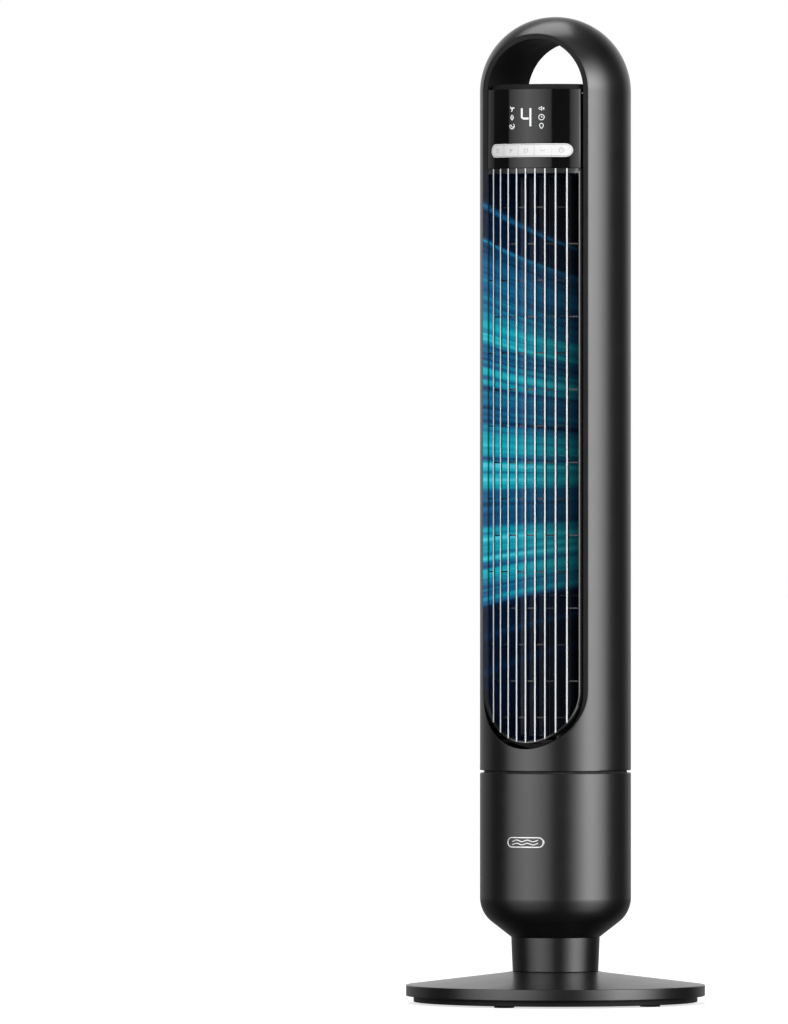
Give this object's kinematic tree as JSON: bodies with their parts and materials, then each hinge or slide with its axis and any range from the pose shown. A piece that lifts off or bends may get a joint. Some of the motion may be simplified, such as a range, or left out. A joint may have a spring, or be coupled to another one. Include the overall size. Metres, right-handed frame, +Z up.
{
  "type": "tower fan",
  "caption": "Slim upright tower fan: round weighted base, fixed lower housing and a swinging column with barred outlet, key strip and arched carrying handle.",
  "frame": {"origin": "centre of the base where it rests on the floor", "axes": "+Z up along the column, air leaves towards -Y, +X to the right when the fan is seen from the front"},
  "size_m": [0.3274, 0.3274, 1.08],
  "materials": {
    "satin_black": "satin moulded black, fine grain",
    "bezel_black": "satin black moulding",
    "gloss_black": "polished black display window",
    "grille_grey": "dark grille with silvered bar fronts",
    "inner_black": "matte black moulding",
    "key_white": "satin white keys with grey marks",
    "glide_white": "natural acetal",
    "rubber": "matte black",
    "steel": "zinc plated",
    "motor_steel": "plated pressing",
    "bronze": "sintered bearing bronze",
    "badge_metal": "satin silver",
    "circuit_board": "printed circuit board with parts"
  },
  "bodies": {
    "stand": {"base_cover": "satin_black", "base_tray": "satin_black", "ballast_plate": "steel", "foot_pad_1": "rubber", "foot_pad_2": "rubber", "foot_pad_3": "rubber", "foot_pad_4": "rubber", "foot_pad_5": "rubber", "neck": "satin_black", "neck_nut": "inner_black", "neck_screw_1": "steel", "neck_screw_2": "steel", "neck_screw_3": "steel", "neck_screw_4": "steel", "lower_housing": "satin_black", "housing_deck": "inner_black", "deck_screw_1": "steel", "deck_screw_2": "steel", "deck_screw_3": "steel", "glide_ring": "glide_white", "swing_motor": "motor_steel", "power_board": "circuit_board", "cord_gland": "rubber", "front_badge": "badge_metal"},
    "swing_pinion": {"swing_pinion": "glide_white"},
    "column": {"turntable": "inner_black", "ring_gear": "glide_white", "turntable_retainer": "glide_white", "outer_shell": "satin_black", "opening_bezel": "bezel_black", "handle_liner": "bezel_black", "head_cap": "bezel_black", "display_panel": "gloss_black", "display_board": "circuit_board", "key_frame": "key_white", "front_grille": "grille_grey", "rear_grille": "inner_black", "scroll_wall": "inner_black", "duct_tongue": "inner_black", "duct_floor": "inner_black", "duct_roof": "inner_black", "fan_motor": "motor_steel", "motor_damper": "rubber", "bearing_bush": "bronze", "bearing_boot": "rubber", "control_board": "circuit_board", "wire_loom": "rubber"},
    "impeller": {"impeller": "inner_black", "drive_shaft": "steel", "top_pin": "steel"},
    "key_mode": {"key_mode": "key_white"},
    "key_speed": {"key_speed": "key_white"},
    "key_power": {"key_power": "key_white"},
    "key_swing": {"key_swing": "key_white"},
    "key_timer": {"key_timer": "key_white"}
  },
  "joints": [
    {"name": "column_swing", "type": "hinge", "parent": "stand", "child": "column", "pos_m": [0, 0, 0.2541], "axis": [0, 0, 1], "range_deg": [-45, 45]},
    {"name": "pinion_spin", "type": "hinge", "parent": "stand", "child": "swing_pinion", "pos_m": [0.045, 0, 0.23], "axis": [0, 0, 1], "range_deg": [-180, 180]},
    {"name": "impeller_spin", "type": "hinge", "parent": "column", "child": "impeller", "pos_m": [0, 0.008, 0.6], "axis": [0, 0, 1], "continuous": true},
    {"name": "key_mode_press", "type": "slide", "parent": "column", "child": "key_mode", "axis": [0, 1, 0], "range_m": [0, 0.0006], "stiffness_N_per_m": 800},
    {"name": "key_speed_press", "type": "slide", "parent": "column", "child": "key_speed", "axis": [0, 1, 0], "range_m": [0, 0.0006], "stiffness_N_per_m": 800},
    {"name": "key_power_press", "type": "slide", "parent": "column", "child": "key_power", "axis": [0, 1, 0], "range_m": [0, 0.0006], "stiffness_N_per_m": 800},
    {"name": "key_swing_press", "type": "slide", "parent": "column", "child": "key_swing", "axis": [0, 1, 0], "range_m": [0, 0.0006], "stiffness_N_per_m": 800},
    {"name": "key_timer_press", "type": "slide", "parent": "column", "child": "key_timer", "axis": [0, 1, 0], "range_m": [0, 0.0006], "stiffness_N_per_m": 800}
  ],
  "couplings": [
    {"joint": "pinion_spin", "follows": "column_swing", "ratio": -4}
  ]
}
